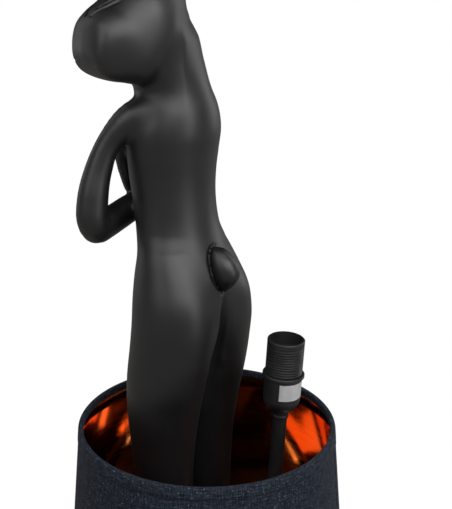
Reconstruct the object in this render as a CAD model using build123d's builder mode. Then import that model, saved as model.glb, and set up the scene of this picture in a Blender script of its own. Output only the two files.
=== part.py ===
from build123d import *
import os
from math import cos, radians, sin, tan

# Figural table lamp: a standing hare on a round base, with a small lampholder on a stem
# behind it and a tapered fabric shade that stands on the table round the base.
# Millimetres. +Z is up, the origin is the centre of the underside, on the table.
# The base faces -Y; the stem stands behind the figure, on +Y.

os.makedirs("parts", exist_ok=True)

# ---------------------------------------------------------------- driving dimensions
GAP = 0.05                       # assembly gap between pieces that never move apart

# base
BASE_R = 85.0
FELT_T = 2.0
BASE_TOP = 24.0                  # height of the base's top face
BASE_WEB_T = 8.0                 # solid web over the underside recess
RECESS_R = 72.0
COVER_T = 1.5
INLET_Z = 8.5                    # height of the cord inlet
INLET_R = 3.0                    # bore that takes the supply cord
INLET_WALL = 1.6

# figure, in its own frame: it is turned on the base and stands a little forward
FIGURE_TURN = -16.0              # degrees about Z
FIGURE_Y = -15.0
HEAD_TURN = 73.0                 # the head looks to the figure's left, relative to its body
LEG_SPREAD = 25.0
EAR_TOP = 612.0

# stem and lampholder; heights along the stem start at the base's top face
STEM_Y = 50.0
STEM_LEAN = 3.1                  # degrees, backwards
STEM_R = 5.5
STEM_WALL = 1.0
STEM_LENGTH = 174.5
NIPPLE_R = STEM_R - STEM_WALL - GAP
NIPPLE_BORE = 3.1
HOLDER_R = 13.85                 # over the crests of the outside thread
HOLDER_LENGTH = 60.9             # from the neck to the mouth
THREAD_PITCH = 2.0
THREAD_TURNS = 11
THREAD_DEPTH = 0.8
MOUTH_R = 12.2
MOUTH_DEPTH = 9.0                # from the mouth down to the core's top face
CORE_R = 11.2
MOUTH_BAND = 4.6
FLANGE_R = 15.6
FLANGE_T = 2.6
CAP_WALL = 1.5
DOME_H = 13.0
SHELL_R = 7.0                    # inside of the screw shell for a small lamp cap
SHELL_T = 0.6
SHELL_THREAD_L = 14.4
CONTACT_TRAVEL = 1.5

# shade
SHADE_TOP_R = 99.6
SHADE_BOTTOM_R = 115.5
SHADE_H = 180.0
HEM_T = 0.4
HEM_BAND = 9.0
HEM_LIP = 5.5
FABRIC_T = 0.6
LINING_T = 0.45
SHADE_WIRE_R = 1.0
FITTER_Y = 61.5                  # the fitter ring sits off the shade's centre, round the stem
FITTER_Z = 35.0
FITTER_BORE_R = 21.0
FITTER_W = 3.5
FITTER_T = 1.6
ARM_WIRE_R = 1.3

# ---------------------------------------------------------------- shared frames
figure_plane = Plane.XY.rotated((0, 0, FIGURE_TURN)).move(Location((0, FIGURE_Y, 0)))
lean = radians(STEM_LEAN)
stem_plane = Plane(origin=(0, STEM_Y, BASE_TOP), x_dir=(1, 0, 0), z_dir=(0, sin(lean), cos(lean)))
stem_section = Plane(origin=stem_plane.origin, x_dir=(1, 0, 0), z_dir=stem_plane.y_dir * -1)
stem_axis = Axis(stem_plane.origin, stem_plane.z_dir)
HOLDER_BASE = STEM_LENGTH
HOLDER_TOP = HOLDER_BASE + HOLDER_LENGTH
THREAD_TOP = HOLDER_TOP - MOUTH_BAND
FLANGE_TOP = THREAD_TOP - THREAD_PITCH * THREAD_TURNS - 0.4
FLANGE_BOTTOM = FLANGE_TOP - FLANGE_T
CORE_TOP = HOLDER_TOP - MOUTH_DEPTH


def figure_point(side, forward, height):
    """A point in the figure's own frame: to its left, forward of its legs, above the table."""
    return figure_plane.from_local_coords(Vector(side, -forward, height))


def turned(points, axis=stem_axis, plane=stem_section, arc=360):
    """Solid of revolution from a closed outline given as (radius, height) points."""
    with BuildPart() as piece:
        with BuildSketch(plane):
            with BuildLine():
                Polyline(*points, close=True)
            make_face()
        revolve(axis=axis, revolution_arc=arc)
    return piece.part


def save(piece, label):
    piece.part.label = label
    export_step(piece.part, f"parts/{label}.step")


# ---------------------------------------------------------------- base
foot_spots = [(-LEG_SPREAD, 0), (LEG_SPREAD, 0)]
SCREW_R = 2.5
SCREW_HOLE_R = 2.8
INSERT_R = 4.0
INSERT_L = 12.0
WASHER_R = 6.0
WASHER_T = 1.2
SCREW_HEAD_T = 3.0
web_under = BASE_TOP - BASE_WEB_T

with BuildPart() as base_felt:
    with BuildSketch():
        Circle(BASE_R - 3)
    extrude(amount=FELT_T)
save(base_felt, "base_felt")

with BuildPart() as base_cover:
    with BuildSketch(Plane.XY.offset(FELT_T)):
        Circle(RECESS_R - 0.2)
    extrude(amount=COVER_T)
save(base_cover, "base_cover")

with BuildPart() as base_plate:
    with BuildSketch(Plane.XY.offset(FELT_T)):
        Circle(BASE_R)
    extrude(amount=BASE_TOP - FELT_T)
    fillet(base_plate.faces().sort_by(Axis.Z)[-1].edges(), radius=4)
    fillet(base_plate.faces().sort_by(Axis.Z)[0].edges(), radius=1)
    with BuildSketch(Plane.XY.offset(FELT_T)):
        Circle(RECESS_R)
    extrude(amount=web_under - FELT_T, mode=Mode.SUBTRACT)
    with BuildSketch(figure_plane.offset(web_under)):
        with Locations(*foot_spots):
            Circle(SCREW_HOLE_R)
    extrude(amount=BASE_WEB_T, mode=Mode.SUBTRACT)
    with BuildSketch(stem_plane.offset(-2 * BASE_WEB_T)):
        Circle(NIPPLE_R + 0.4)
    extrude(amount=4 * BASE_WEB_T, mode=Mode.SUBTRACT)
    with BuildSketch(Plane.XZ.offset(-RECESS_R + 3)):
        with Locations((0, INLET_Z)):
            Circle(INLET_R + INLET_WALL)
    extrude(amount=-(BASE_R - RECESS_R + 6), mode=Mode.SUBTRACT)
save(base_plate, "base_plate")

with BuildPart() as cord_inlet_bush:
    with BuildSketch(Plane.XZ.offset(-RECESS_R + 1.5)):
        with Locations((0, INLET_Z)):
            Circle(INLET_R + INLET_WALL - GAP)
    extrude(amount=-(BASE_R - RECESS_R + 2.5))
    with BuildSketch(Plane.XZ.offset(-BASE_R - GAP)):
        with Locations((0, INLET_Z)):
            Circle(INLET_R + INLET_WALL + 1.6)
    extrude(amount=-1.8)
    fillet(cord_inlet_bush.faces().sort_by(Axis.Y)[-1].edges(), radius=0.8)
    with BuildSketch(Plane.XZ.offset(-RECESS_R + 10)):
        with Locations((0, INLET_Z)):
            Circle(INLET_R)
    extrude(amount=-40, mode=Mode.SUBTRACT)
save(cord_inlet_bush, "cord_inlet_bush")

# ---------------------------------------------------------------- figure
# trunk stations: height, centre forward of the legs, half depth, half width
TRUNK = [
    (226, 1, 6, 14),
    (238, 1.5, 22, 32),
    (262, 0, 33.5, 42.5),
    (280, 0.5, 37, 43.5),
    (300, 2.5, 37, 41),
    (318, 4.8, 32, 37.5),
    (336, 9.3, 28.7, 34),
    (356, 12.5, 28.7, 33),
    (376, 14, 30, 34.5),
    (392, 13.5, 31, 36.5),
    (408, 12, 31.5, 37),
    (424, 11, 29, 33),
    (438, 12.8, 26, 28.5),
    (456, 16.3, 24, 27),
    (472, 20, 21.5, 23.5),
    (486, 25, 16, 18),
    (496, 29, 8, 9),
]
# leg stations: height, forward, half depth, half width
LEG = [
    (30, -4, 13.5, 13.5),
    (60, -3, 15.5, 15.5),
    (100, 1, 18.5, 18.5),
    (140, 5, 22.5, 22.5),
    (172, 5.5, 25.5, 25),
    (200, 4, 28.5, 28),
    (221, 1.5, 30.5, 29),
    (246, -2, 31.5, 27.5),
    (270, -5, 31, 26),
    (290, -4.5, 27.5, 23),
    (306, -2, 19, 17),
    (314, 0, 9, 9),
]
# foot stations: height, centre forward, half length, half width
FOOT = [(24, 13, 35, 13), (31, 11, 33, 13.5), (38, 4, 22, 12.5), (44, -3, 13.5, 12.5)]
# arm stations: to the figure's left, forward, height, radius
LEFT_UPPER_ARM = [
    (17, 14, 424, 15),
    (30, 26, 412, 15),
    (41, 40, 397, 10),
    (48, 46, 380, 9.5),
    (53, 47.6, 360, 10.7),
    (54, 47.6, 343, 11.3),
]
LEFT_ELBOW = (53.5, 47.6, 339, 11.5)
LEFT_FOREARM = [(51, 47.6, 338, 11), (25, 50, 341, 9.2), (6, 48, 347, 9), (-12, 42, 350, 8)]
RIGHT_UPPER_ARM = [
    (-16, 12, 424, 15),
    (-28, 23, 412, 15),
    (-41, 35, 395, 11),
    (-49, 42, 375, 10.5),
    (-52, 45, 354, 11),
]
RIGHT_ELBOW = (-51, 46.5, 346, 11.2)
RIGHT_FOREARM = [
    (-50, 47, 344, 10.4),
    (-36, 56, 346, 9),
    (-18, 61, 362, 7.5),
    (0, 60, 377, 7),
    (18, 50, 391, 8),
    (27, 38, 398, 8),
]
# tail stations: height, centre behind the legs, half depth, half width
TAIL = [(284, 34, 3, 2.5), (291, 35, 7, 6), (299, 35.5, 10.2, 9.3), (307, 35, 11, 10.5), (316, 32, 9.5, 9), (323, 28, 6, 6)]
# head stations along its own axis: distance, top and bottom from that axis, half width
HEAD = [
    (-22, 6, -12, 9),
    (-14, 14, -22, 18),
    (-6, 19, -27, 23.5),
    (8, 24, -34, 29.5),
    (26, 25, -38, 31),
    (40, 25, -36.5, 30),
    (50, 23, -31, 29),
    (58, 19.5, -22, 27.5),
    (66, 14, -12, 26),
]
MUZZLE_FRONT = 72.6              # the muzzle is cut flat here, ahead of the neck
HEAD_PITCH = 39.0
# ear stations along the ear: distance, half width, half thickness
EAR = [(0, 9, 6), (22, 12.5, 6.5), (50, 14, 6), (76, 11, 4.5), (94, 6, 3), (102, 2.2, 1.6)]
EAR_LEAN = 6.0
EAR_SPLAY = 7.0
EAR_SPREAD = 12.0
EAR_AHEAD = 11.0


def tube_planes(stations):
    """Section planes square to a line through (side, forward, height, radius) stations."""
    points = [figure_point(*station[:3]) for station in stations]
    planes = []
    for index, point in enumerate(points):
        ahead = points[min(index + 1, len(points) - 1)]
        behind = points[max(index - 1, 0)]
        planes.append(Plane(origin=point, x_dir=(0.25, -0.9, 0.35), z_dir=ahead - behind))
    return planes


neck = figure_point(0, 12, 0)
head_angle = FIGURE_TURN + HEAD_TURN
head_frame = Plane.XY.rotated((0, 0, head_angle)).move(Location((neck.X, neck.Y, 0)))
ahead = head_frame.y_dir * -1
pitch = radians(HEAD_PITCH)
head_axis = ahead * cos(pitch) - Vector(0, 0, 1) * sin(pitch)
head_down = ahead * -sin(pitch) - Vector(0, 0, 1) * cos(pitch)
head_origin = Vector(neck.X, neck.Y, 498) + ahead * 18

with BuildPart() as hare_figure:
    for height, forward, half_depth, half_width in TRUNK:
        with BuildSketch(figure_plane.offset(height)):
            with Locations((0, -forward)):
                Ellipse(half_width, half_depth)
    loft()
    for side in (-1, 1):
        for height, forward, half_depth, half_width in LEG:
            with BuildSketch(figure_plane.offset(height)):
                with Locations((side * LEG_SPREAD, -forward)):
                    Ellipse(half_width, half_depth)
        loft()
        for height, forward, half_length, half_width in FOOT:
            with BuildSketch(figure_plane.offset(height)):
                with Locations((side * LEG_SPREAD, -forward)):
                    Ellipse(half_width, half_length)
        loft()
    for limb in (LEFT_UPPER_ARM, LEFT_FOREARM, RIGHT_UPPER_ARM, RIGHT_FOREARM):
        for plane, station in zip(tube_planes(limb), limb):
            with BuildSketch(plane):
                Circle(station[3])
        loft()
    for side, forward, height, radius in (LEFT_ELBOW, RIGHT_ELBOW):
        with Locations(figure_point(side, forward, height)):
            Sphere(radius)
    for height, behind, half_depth, half_width in TAIL:
        with BuildSketch(figure_plane.offset(height)):
            with Locations((0, behind)):
                Ellipse(half_width, half_depth)
    loft()
    for distance, top, bottom, half_width in HEAD:
        centre = head_origin + head_axis * distance - head_down * (top + bottom) / 2
        with BuildSketch(Plane(origin=centre, x_dir=head_frame.x_dir, z_dir=head_axis)):
            Ellipse(half_width, (top - bottom) / 2)
    loft()
    muzzle_plane = Plane(origin=neck + ahead * MUZZLE_FRONT, x_dir=head_frame.x_dir, z_dir=ahead)
    with BuildSketch(muzzle_plane):
        with Locations((0, 0)):
            Rectangle(120, 1200)
    extrude(amount=30, mode=Mode.SUBTRACT)
    for side in (-1, 1):
        up = Vector(0, 0, 1) - ahead * tan(radians(EAR_LEAN)) + head_frame.x_dir * side * tan(radians(EAR_SPLAY))
        up = up.normalized()
        root = Vector(neck.X, neck.Y, 0) + ahead * EAR_AHEAD + head_frame.x_dir * side * EAR_SPREAD
        root = root + Vector(0, 0, EAR_TOP - 102 * cos(radians(EAR_LEAN)))
        for distance, half_width, half_thick in EAR:
            with BuildSketch(Plane(origin=root + up * distance, x_dir=ahead, z_dir=up)):
                Ellipse(half_width, half_thick)
        loft()
    with BuildSketch(figure_plane.offset(BASE_TOP)):
        with Locations(*foot_spots):
            Circle(INSERT_R + GAP)
    extrude(amount=INSERT_L + 2, mode=Mode.SUBTRACT)
save(hare_figure, "hare_figure")

with BuildPart() as figure_inserts:
    with BuildSketch(figure_plane.offset(BASE_TOP + 0.2)):
        with Locations(*foot_spots):
            Circle(INSERT_R)
            Circle(SCREW_R + GAP, mode=Mode.SUBTRACT)
    extrude(amount=INSERT_L)
save(figure_inserts, "figure_inserts")

with BuildPart() as figure_washers:
    with BuildSketch(figure_plane.offset(web_under - WASHER_T)):
        with Locations(*foot_spots):
            Circle(WASHER_R)
            Circle(SCREW_R + 0.2, mode=Mode.SUBTRACT)
    extrude(amount=WASHER_T)
save(figure_washers, "figure_washers")

head_under = web_under - WASHER_T - SCREW_HEAD_T
with BuildPart() as figure_screws:
    with BuildSketch(figure_plane.offset(head_under)):
        with Locations(*foot_spots):
            Circle(4.7)
    extrude(amount=SCREW_HEAD_T)
    fillet(figure_screws.faces().sort_by(Axis.Z)[:2].edges(), radius=1.2)
    with BuildSketch(figure_plane.offset(head_under)):
        with Locations(*foot_spots):
            Circle(SCREW_R)
    extrude(amount=BASE_TOP + INSERT_L - 1 - head_under)
    with BuildSketch(figure_plane.offset(head_under)):
        with Locations(*foot_spots):
            Rectangle(5, 1.1)
            Rectangle(1.1, 5)
    extrude(amount=1.6, mode=Mode.SUBTRACT)
save(figure_screws, "figure_screws")

# ---------------------------------------------------------------- stem and its fixings
with BuildPart() as stem_tube:
    with BuildSketch(stem_plane.offset(0.6)):
        Circle(STEM_R)
        Circle(STEM_R - STEM_WALL, mode=Mode.SUBTRACT)
    extrude(amount=STEM_LENGTH - 0.6)
save(stem_tube, "stem_tube")

with BuildPart() as stem_foot:
    add(turned([(STEM_R + GAP, -2), (11.5, -2), (11.5, 3), (10, 5), (7.6, 6.2), (6.8, 8.5), (STEM_R + GAP, 8.5)]))
    split(bisect_by=Plane.XY.offset(BASE_TOP), keep=Keep.TOP)
save(stem_foot, "stem_foot")

with BuildPart() as stem_nipple_lower:
    with BuildSketch(stem_plane.offset(-11.5)):
        Circle(NIPPLE_R)
        Circle(NIPPLE_BORE, mode=Mode.SUBTRACT)
    extrude(amount=11.5 + 22)
save(stem_nipple_lower, "stem_nipple_lower")

with BuildPart() as stem_washer:
    with BuildSketch(stem_plane.offset(-9.2)):
        Circle(9)
        Circle(NIPPLE_R + GAP, mode=Mode.SUBTRACT)
    extrude(amount=3)
    split(bisect_by=Plane.XY.offset(web_under), keep=Keep.BOTTOM)
save(stem_washer, "stem_washer")

with BuildPart() as stem_nut:
    with BuildSketch(stem_plane.offset(-11.4)):
        RegularPolygon(7, 6, major_radius=False)
        Circle(NIPPLE_R + GAP, mode=Mode.SUBTRACT)
    extrude(amount=2.2)
save(stem_nut, "stem_nut")

with BuildPart() as stem_nipple_upper:
    with BuildSketch(stem_plane.offset(STEM_LENGTH - 16)):
        Circle(NIPPLE_R)
        Circle(NIPPLE_BORE, mode=Mode.SUBTRACT)
    extrude(amount=16 + 10)
save(stem_nipple_upper, "stem_nipple_upper")

# ---------------------------------------------------------------- lampholder
body_top = FLANGE_BOTTOM - GAP
cap_inner_r = HOLDER_R - CAP_WALL
cap_floor = HOLDER_BASE + 5
with BuildPart() as lampholder_cap:
    with BuildSketch(stem_section):
        with BuildLine():
            Line((NIPPLE_R + GAP, HOLDER_BASE + GAP), (STEM_R + 0.2, HOLDER_BASE + GAP))
            Line((STEM_R + 0.2, HOLDER_BASE + GAP), (STEM_R + 0.2, HOLDER_BASE + 2))
            Spline(
                (STEM_R + 0.2, HOLDER_BASE + 2),
                (11.2, HOLDER_BASE + 6.5),
                (HOLDER_R, HOLDER_BASE + DOME_H),
                tangents=((0.8, 0.6), (0.1, 1)),
            )
            Line((HOLDER_R, HOLDER_BASE + DOME_H), (HOLDER_R, body_top))
            Line((HOLDER_R, body_top), (cap_inner_r, body_top))
            Line((cap_inner_r, body_top), (cap_inner_r, HOLDER_BASE + DOME_H + 1))
            Line((cap_inner_r, HOLDER_BASE + DOME_H + 1), (9, cap_floor))
            Line((9, cap_floor), (NIPPLE_R + GAP, cap_floor))
            Line((NIPPLE_R + GAP, cap_floor), (NIPPLE_R + GAP, HOLDER_BASE + GAP))
        make_face()
    revolve(axis=stem_axis)
save(lampholder_cap, "lampholder_cap")

with BuildPart() as holder_collar:
    add(turned([
        (STEM_R + GAP, HOLDER_BASE - 3), (STEM_R + 0.7, HOLDER_BASE - 3), (STEM_R + 1, HOLDER_BASE - 2),
        (STEM_R + 1, HOLDER_BASE - 0.8), (STEM_R + 0.7, HOLDER_BASE - 0.1), (STEM_R + GAP, HOLDER_BASE - 0.1),
    ]))
save(holder_collar, "holder_collar")

with BuildPart() as holder_nut:
    with BuildSketch(stem_plane.offset(cap_floor)):
        RegularPolygon(6.8, 6, major_radius=False)
        Circle(NIPPLE_R + GAP, mode=Mode.SUBTRACT)
    extrude(amount=3)
save(holder_nut, "holder_nut")

root_r = HOLDER_R - THREAD_DEPTH
spigot_r = cap_inner_r - 0.15
SPIGOT_H = 9.0
SPIGOT_WALL = 1.1
sleeve_outline = [
    (spigot_r - SPIGOT_WALL, FLANGE_BOTTOM - SPIGOT_H),
    (spigot_r, FLANGE_BOTTOM - SPIGOT_H),
    (spigot_r, FLANGE_BOTTOM),
    (FLANGE_R - 0.4, FLANGE_BOTTOM),
    (FLANGE_R, FLANGE_BOTTOM + 0.5),
    (FLANGE_R, FLANGE_TOP - 0.5),
    (FLANGE_R - 0.4, FLANGE_TOP),
    (root_r, FLANGE_TOP),
]
for turn in range(THREAD_TURNS):
    start = FLANGE_TOP + 0.4 + turn * THREAD_PITCH
    sleeve_outline += [
        (root_r, start),
        (HOLDER_R, start + 0.6),
        (HOLDER_R, start + 1.0),
        (root_r, start + 1.6),
    ]
sleeve_outline += [
    (root_r, THREAD_TOP + 0.4),
    (HOLDER_R, THREAD_TOP + 0.8),
    (HOLDER_R, HOLDER_TOP - 0.6),
    (HOLDER_R - 0.6, HOLDER_TOP),
    (MOUTH_R, HOLDER_TOP),
    (MOUTH_R, CORE_TOP),
    (CORE_R + GAP, CORE_TOP),
    (CORE_R + GAP, FLANGE_BOTTOM + 1),
    (spigot_r - SPIGOT_WALL, FLANGE_BOTTOM + 1),
]
with BuildPart() as lampholder_sleeve:
    add(turned(sleeve_outline))
save(lampholder_sleeve, "lampholder_sleeve")

CORE_BOTTOM = FLANGE_BOTTOM - 7
core_floor = CORE_BOTTOM + 5
core_low_r = spigot_r - SPIGOT_WALL - GAP
with BuildPart() as lampholder_core:
    add(turned([
        (0, CORE_BOTTOM), (core_low_r, CORE_BOTTOM), (core_low_r, FLANGE_BOTTOM + 1 + GAP),
        (CORE_R, FLANGE_BOTTOM + 1 + GAP), (CORE_R, CORE_TOP - 1), (CORE_R - 1, CORE_TOP),
        (SHELL_R + SHELL_T + GAP, CORE_TOP), (SHELL_R + SHELL_T + GAP, core_floor), (0, core_floor),
    ]))
save(lampholder_core, "lampholder_core")

shell_step = CORE_TOP - 2 - SHELL_THREAD_L
with BuildPart() as screw_shell:
    add(turned([
        (SHELL_R - SHELL_T, core_floor + GAP), (SHELL_R + SHELL_T, core_floor + GAP),
        (SHELL_R + SHELL_T, CORE_TOP - 2), (SHELL_R, CORE_TOP - 2),
        (SHELL_R, shell_step), (SHELL_R - SHELL_T, shell_step),
    ]))
save(screw_shell, "screw_shell")

contact_rest = core_floor + 0.4 + CONTACT_TRAVEL
with BuildPart() as centre_contact:
    with BuildSketch(stem_section):
        with BuildLine():
            Polyline(
                (-5, contact_rest), (-4.2, contact_rest), (-1.6, contact_rest + 1.8), (2.4, contact_rest + 1.8),
                (2.4, contact_rest + 2.2), (-1.8, contact_rest + 2.2), (-4.4, contact_rest + 0.4),
                (-5, contact_rest + 0.4), close=True,
            )
        make_face()
    extrude(amount=2, both=True)
save(centre_contact, "centre_contact")

BLOCK_X = 5.6
BLOCK_H = 7.0
with BuildPart() as terminal_blocks:
    with BuildSketch(stem_plane.offset(CORE_BOTTOM - BLOCK_H - GAP)):
        with Locations((-BLOCK_X, 0), (BLOCK_X, 0)):
            RectangleRounded(4.6, 5.6, 0.6)
    extrude(amount=BLOCK_H)
save(terminal_blocks, "terminal_blocks")

screw_height = CORE_BOTTOM - BLOCK_H / 2
with BuildPart() as terminal_screws:
    for side in (-1, 1):
        face = Plane(
            origin=stem_plane.from_local_coords(Vector(side * (BLOCK_X + 2.3 + GAP), 0, screw_height)),
            x_dir=stem_plane.y_dir,
            z_dir=stem_plane.x_dir * side,
        )
        with BuildSketch(face):
            Circle(1.7)
        extrude(amount=1.8)
        with BuildSketch(face.offset(1.8)):
            Rectangle(3.6, 0.5)
        extrude(amount=-0.8, mode=Mode.SUBTRACT)
save(terminal_screws, "terminal_screws")

# rating label: a blank foil wrapped round the plain body below the flange
LABEL_START = 8.0
LABEL_ARC = 98.0
LABEL_TOP = FLANGE_BOTTOM - 2
LABEL_H = 13.0
start_angle = radians(LABEL_START)
label_dir = stem_plane.x_dir * cos(start_angle) + stem_plane.y_dir * sin(start_angle)
label_section = Plane(origin=stem_plane.origin, x_dir=label_dir, z_dir=label_dir.cross(stem_plane.z_dir))
with BuildPart() as rating_label:
    with BuildSketch(label_section):
        with BuildLine():
            Polyline(
                (HOLDER_R + 0.02, LABEL_TOP - LABEL_H), (HOLDER_R + 0.14, LABEL_TOP - LABEL_H),
                (HOLDER_R + 0.14, LABEL_TOP), (HOLDER_R + 0.02, LABEL_TOP), close=True,
            )
        make_face()
    revolve(axis=stem_axis, revolution_arc=LABEL_ARC)
save(rating_label, "rating_label")

# inner lead: from the inlet across the recess, up the stem, ending in the holder's cap
LEAD_R = 1.8
LEAD_BEND = 7.0
lead_top = HOLDER_BASE + 11
below_stem = stem_axis.position + stem_axis.direction * (-(BASE_TOP - INLET_Z) / cos(lean))
with BuildPart() as inner_lead:
    with BuildLine() as lead_path:
        FilletPolyline(
            (0, RECESS_R - 5, INLET_Z),
            below_stem,
            stem_plane.from_local_coords(Vector(0, 0, lead_top)),
            radius=LEAD_BEND,
        )
    with BuildSketch(Plane(origin=lead_path.line @ 0, z_dir=lead_path.line % 0)):
        Circle(LEAD_R)
    sweep()
save(inner_lead, "inner_lead")

with BuildPart() as lead_cores:
    for side in (-1, 1):
        foot = stem_plane.from_local_coords(Vector(side * 0.95, 0, lead_top + 0.7))
        top = stem_plane.from_local_coords(Vector(side * BLOCK_X, 0, CORE_BOTTOM - BLOCK_H - 2 * GAP))
        knee = stem_plane.from_local_coords(Vector(side * BLOCK_X, 0, lead_top + 4))
        with BuildLine() as core_path:
            FilletPolyline(foot, knee, top, radius=1.2)
        with BuildSketch(Plane(origin=core_path.line @ 0, z_dir=core_path.line % 0)):
            Circle(0.8)
        sweep()
save(lead_cores, "lead_cores")

# ---------------------------------------------------------------- shade
TAPER = (SHADE_BOTTOM_R - SHADE_TOP_R) / SHADE_H


def shade_r(height, inset=0.0):
    return SHADE_BOTTOM_R - TAPER * height - inset


def shade_layer(inset, thickness, low, high):
    """Closed tapered wall between two insets from the shade's outer face."""
    return turned(
        [
            (shade_r(low, inset + thickness), low), (shade_r(low, inset), low),
            (shade_r(high, inset), high), (shade_r(high, inset + thickness), high),
        ],
        axis=Axis.Z, plane=Plane.XZ,
    )


def hem(edge, inward):
    """Fabric folded over the shade's edge: outer band, edge and a short lip inside."""
    band = edge + inward * HEM_BAND
    fold = edge + inward * HEM_T
    lip = edge + inward * HEM_LIP
    return turned(
        [
            (shade_r(band), band), (shade_r(edge), edge), (shade_r(edge, lip_inset + HEM_T), edge),
            (shade_r(lip, lip_inset + HEM_T), lip), (shade_r(lip, lip_inset), lip),
            (shade_r(fold, lip_inset), fold), (shade_r(fold, HEM_T), fold), (shade_r(band, HEM_T), band),
        ],
        axis=Axis.Z, plane=Plane.XZ,
    )


cover_inset = HEM_T + GAP
lining_inset = cover_inset + FABRIC_T + GAP
wire_inset = lining_inset + LINING_T + GAP + SHADE_WIRE_R
lip_inset = wire_inset + SHADE_WIRE_R + 2 * GAP
edge_inset = HEM_T + 0.1
wire_low = HEM_T + SHADE_WIRE_R + 0.15
wire_high = SHADE_H - wire_low

with BuildPart() as shade_cover:
    add(shade_layer(cover_inset, FABRIC_T, edge_inset, SHADE_H - edge_inset))
save(shade_cover, "shade_cover")

with BuildPart() as shade_lining:
    add(shade_layer(lining_inset, LINING_T, edge_inset, SHADE_H - edge_inset))
save(shade_lining, "shade_lining")

for label, edge, inward, wire_z in (
    ("bottom", 0.0, 1, wire_low),
    ("top", SHADE_H, -1, wire_high),
):
    with BuildPart() as shade_hem:
        add(hem(edge, inward))
    save(shade_hem, f"shade_{label}_hem")
    with BuildPart() as shade_ring:
        with BuildSketch(Plane.XZ):
            with Locations((shade_r(wire_z, wire_inset), wire_z)):
                Circle(SHADE_WIRE_R)
        revolve(axis=Axis.Z)
    save(shade_ring, f"shade_{label}_ring")

with BuildPart() as fitter_ring:
    with BuildSketch(Plane.XY.offset(FITTER_Z)):
        with Locations((0, FITTER_Y)):
            Circle(FITTER_BORE_R + FITTER_W)
            Circle(FITTER_BORE_R, mode=Mode.SUBTRACT)
    extrude(amount=-FITTER_T)
    fillet(fitter_ring.edges().filter_by(GeomType.CIRCLE), radius=0.5)
save(fitter_ring, "fitter_ring")

arm_z = FITTER_Z - FITTER_T / 2
arm_start = FITTER_BORE_R + FITTER_W + GAP
arm_inset = lip_inset + HEM_T + ARM_WIRE_R + 0.4
with BuildPart() as fitter_arms:
    for turn_angle in (0, 90, 180):
        direction = Vector(cos(radians(turn_angle)), sin(radians(turn_angle)), 0)
        ring_side = Vector(0, FITTER_Y, arm_z) + direction * arm_start
        # where the arm's line meets the inside of the wall, then down the wall and out to the bottom ring
        along = FITTER_Y * direction.Y
        reach = -along + (along ** 2 - FITTER_Y ** 2 + shade_r(arm_z, arm_inset) ** 2) ** 0.5
        wall_high = Vector(0, FITTER_Y, arm_z) + direction * reach
        outward = Vector(wall_high.X, wall_high.Y, 0).normalized()
        wall_low = outward * shade_r(wire_low, arm_inset) + Vector(0, 0, wire_low)
        ring_end = outward * shade_r(wire_low, wire_inset) + Vector(0, 0, wire_low)
        with BuildLine() as arm_path:
            FilletPolyline(ring_side, wall_high, wall_low, ring_end, radius=[7, 1.6])
        with BuildSketch(Plane(origin=arm_path.line @ 0, z_dir=arm_path.line % 0)):
            Circle(ARM_WIRE_R)
        sweep()
save(fitter_arms, "fitter_arms")
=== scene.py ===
from itertools import product
from math import cos, pi, radians, sin, tan

import bmesh
import bpy
import numpy as np
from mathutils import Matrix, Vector


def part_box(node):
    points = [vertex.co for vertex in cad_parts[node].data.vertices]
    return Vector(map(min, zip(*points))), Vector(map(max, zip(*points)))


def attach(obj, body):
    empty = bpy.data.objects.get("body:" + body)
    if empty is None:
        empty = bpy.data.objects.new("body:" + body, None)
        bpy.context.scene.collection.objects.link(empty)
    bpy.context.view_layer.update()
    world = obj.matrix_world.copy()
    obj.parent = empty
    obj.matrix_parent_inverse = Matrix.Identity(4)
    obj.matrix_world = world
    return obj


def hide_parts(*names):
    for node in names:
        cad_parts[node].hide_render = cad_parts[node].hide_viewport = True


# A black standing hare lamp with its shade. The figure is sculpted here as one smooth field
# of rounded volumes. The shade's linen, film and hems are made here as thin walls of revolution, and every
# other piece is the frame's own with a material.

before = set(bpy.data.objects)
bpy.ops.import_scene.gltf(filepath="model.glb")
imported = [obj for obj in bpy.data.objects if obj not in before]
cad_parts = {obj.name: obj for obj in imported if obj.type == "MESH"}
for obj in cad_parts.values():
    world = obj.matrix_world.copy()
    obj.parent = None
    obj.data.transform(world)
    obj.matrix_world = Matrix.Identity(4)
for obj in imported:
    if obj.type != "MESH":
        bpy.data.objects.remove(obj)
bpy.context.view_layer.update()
MM = 0.001

# ---------------------------------------------------------------- camera and lights
VIEW_AZIMUTH = 112.0
VIEW_PITCH = 18.46
FIGURE_MIDDLE = Vector((0, 0, 0.3))
scene = bpy.context.scene
scene.view_settings.view_transform = "Standard"
camera = bpy.data.objects.new("camera", bpy.data.cameras.new("camera"))
scene.collection.objects.link(camera)
scene.camera = camera
camera.location = (0.647, 0.2615, 0.549)
camera.rotation_euler = (radians(90 - VIEW_PITCH), 0, radians(VIEW_AZIMUTH))
camera.data.lens = 70.73
camera.data.sensor_width = 36
camera.data.shift_x = 0.0373
camera.data.clip_start = 0.01


def softbox(name, azimuth, height, distance, size, power, colour=(1, 1, 1)):
    """Rectangular light at an azimuth round the lamp, aimed at the middle of the figure."""
    data = bpy.data.lights.new(name, "AREA")
    data.shape = "RECTANGLE"
    data.size, data.size_y = size
    data.energy = power
    data.color = colour
    lamp = bpy.data.objects.new(name, data)
    scene.collection.objects.link(lamp)
    angle = radians(azimuth)
    lamp.location = (distance * sin(angle), -distance * cos(angle), height)
    aim = FIGURE_MIDDLE - lamp.location
    lamp.rotation_euler = aim.to_track_quat("-Z", "Y").to_euler()


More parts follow.
